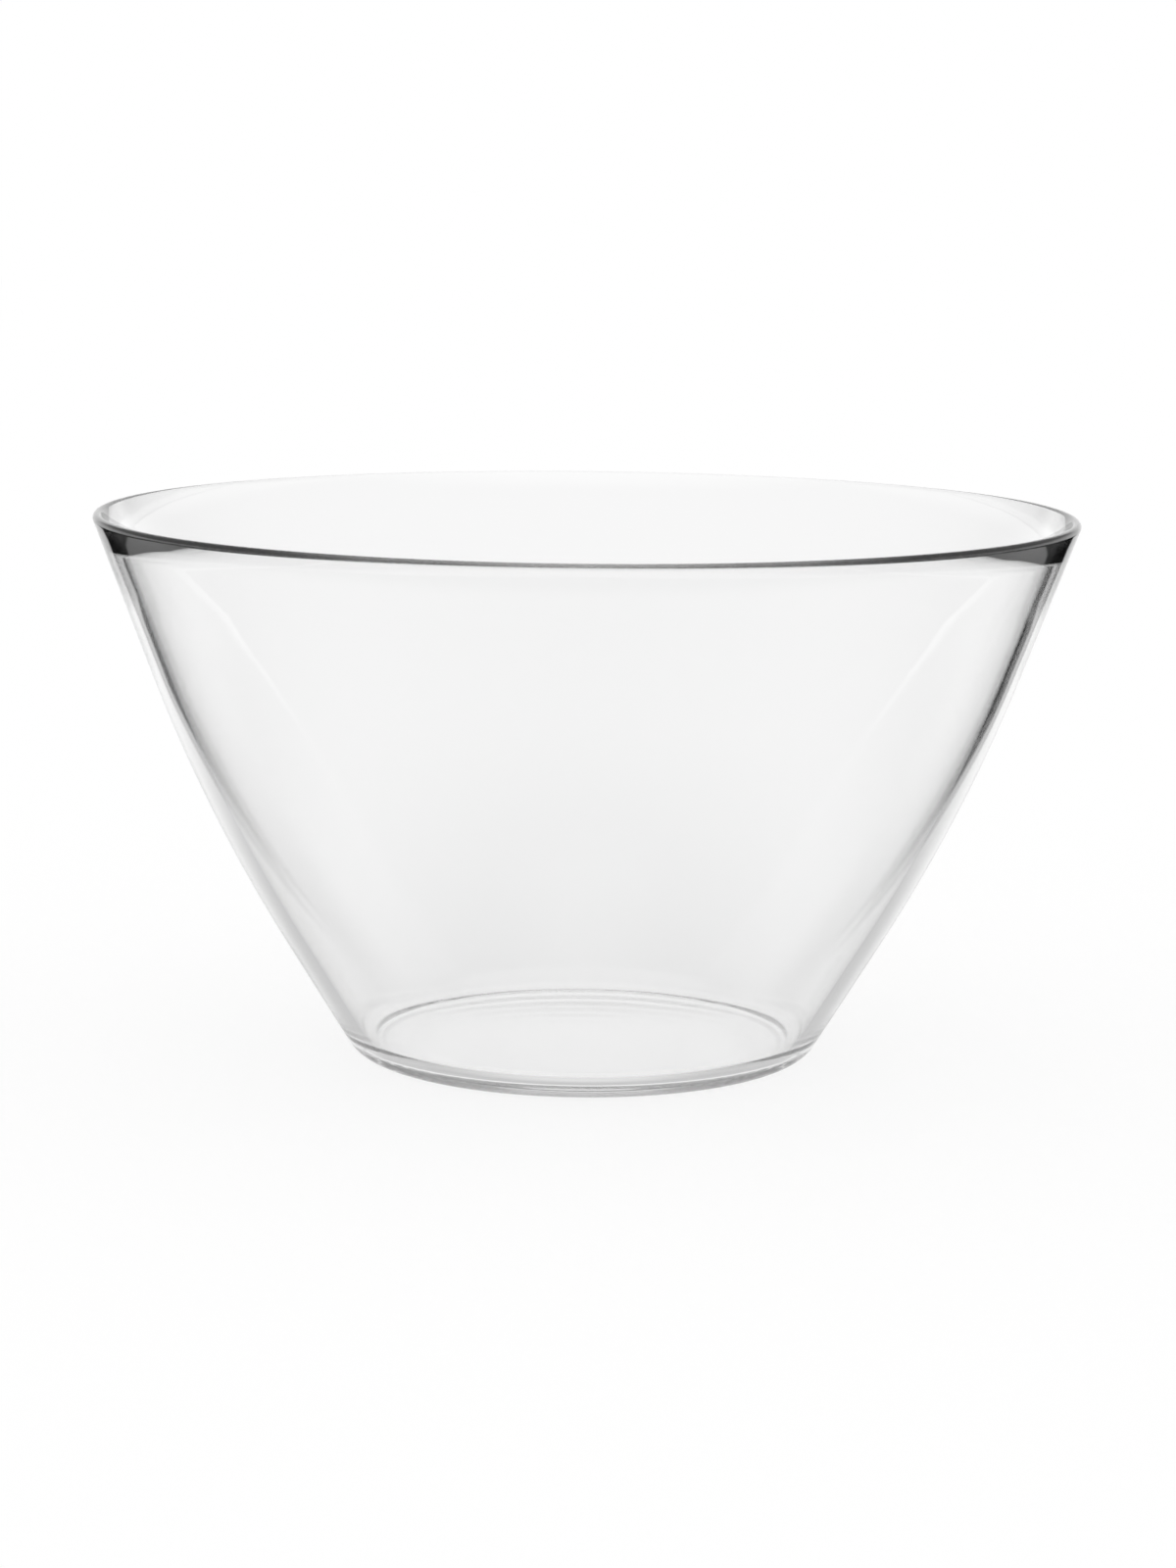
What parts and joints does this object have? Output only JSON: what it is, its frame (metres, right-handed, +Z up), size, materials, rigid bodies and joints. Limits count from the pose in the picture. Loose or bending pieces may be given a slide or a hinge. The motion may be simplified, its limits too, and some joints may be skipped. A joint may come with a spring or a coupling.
{
  "type": "salad bowl",
  "caption": "Deep clear-glass salad bowl with a flared wall that bends half way up, a full-round lip and a flat foot.",
  "frame": {"origin": "centre of the foot, on the table that the bowl stands on", "axes": "+Z up along the bowl's axis; X and Y are any two square directions across the rim"},
  "size_m": [0.28, 0.28, 0.156],
  "materials": {
    "clear_glass": "colourless, fire-polished, clear"
  },
  "bodies": {
    "root": {"bowl": "clear_glass"}
  },
  "joints": []
}
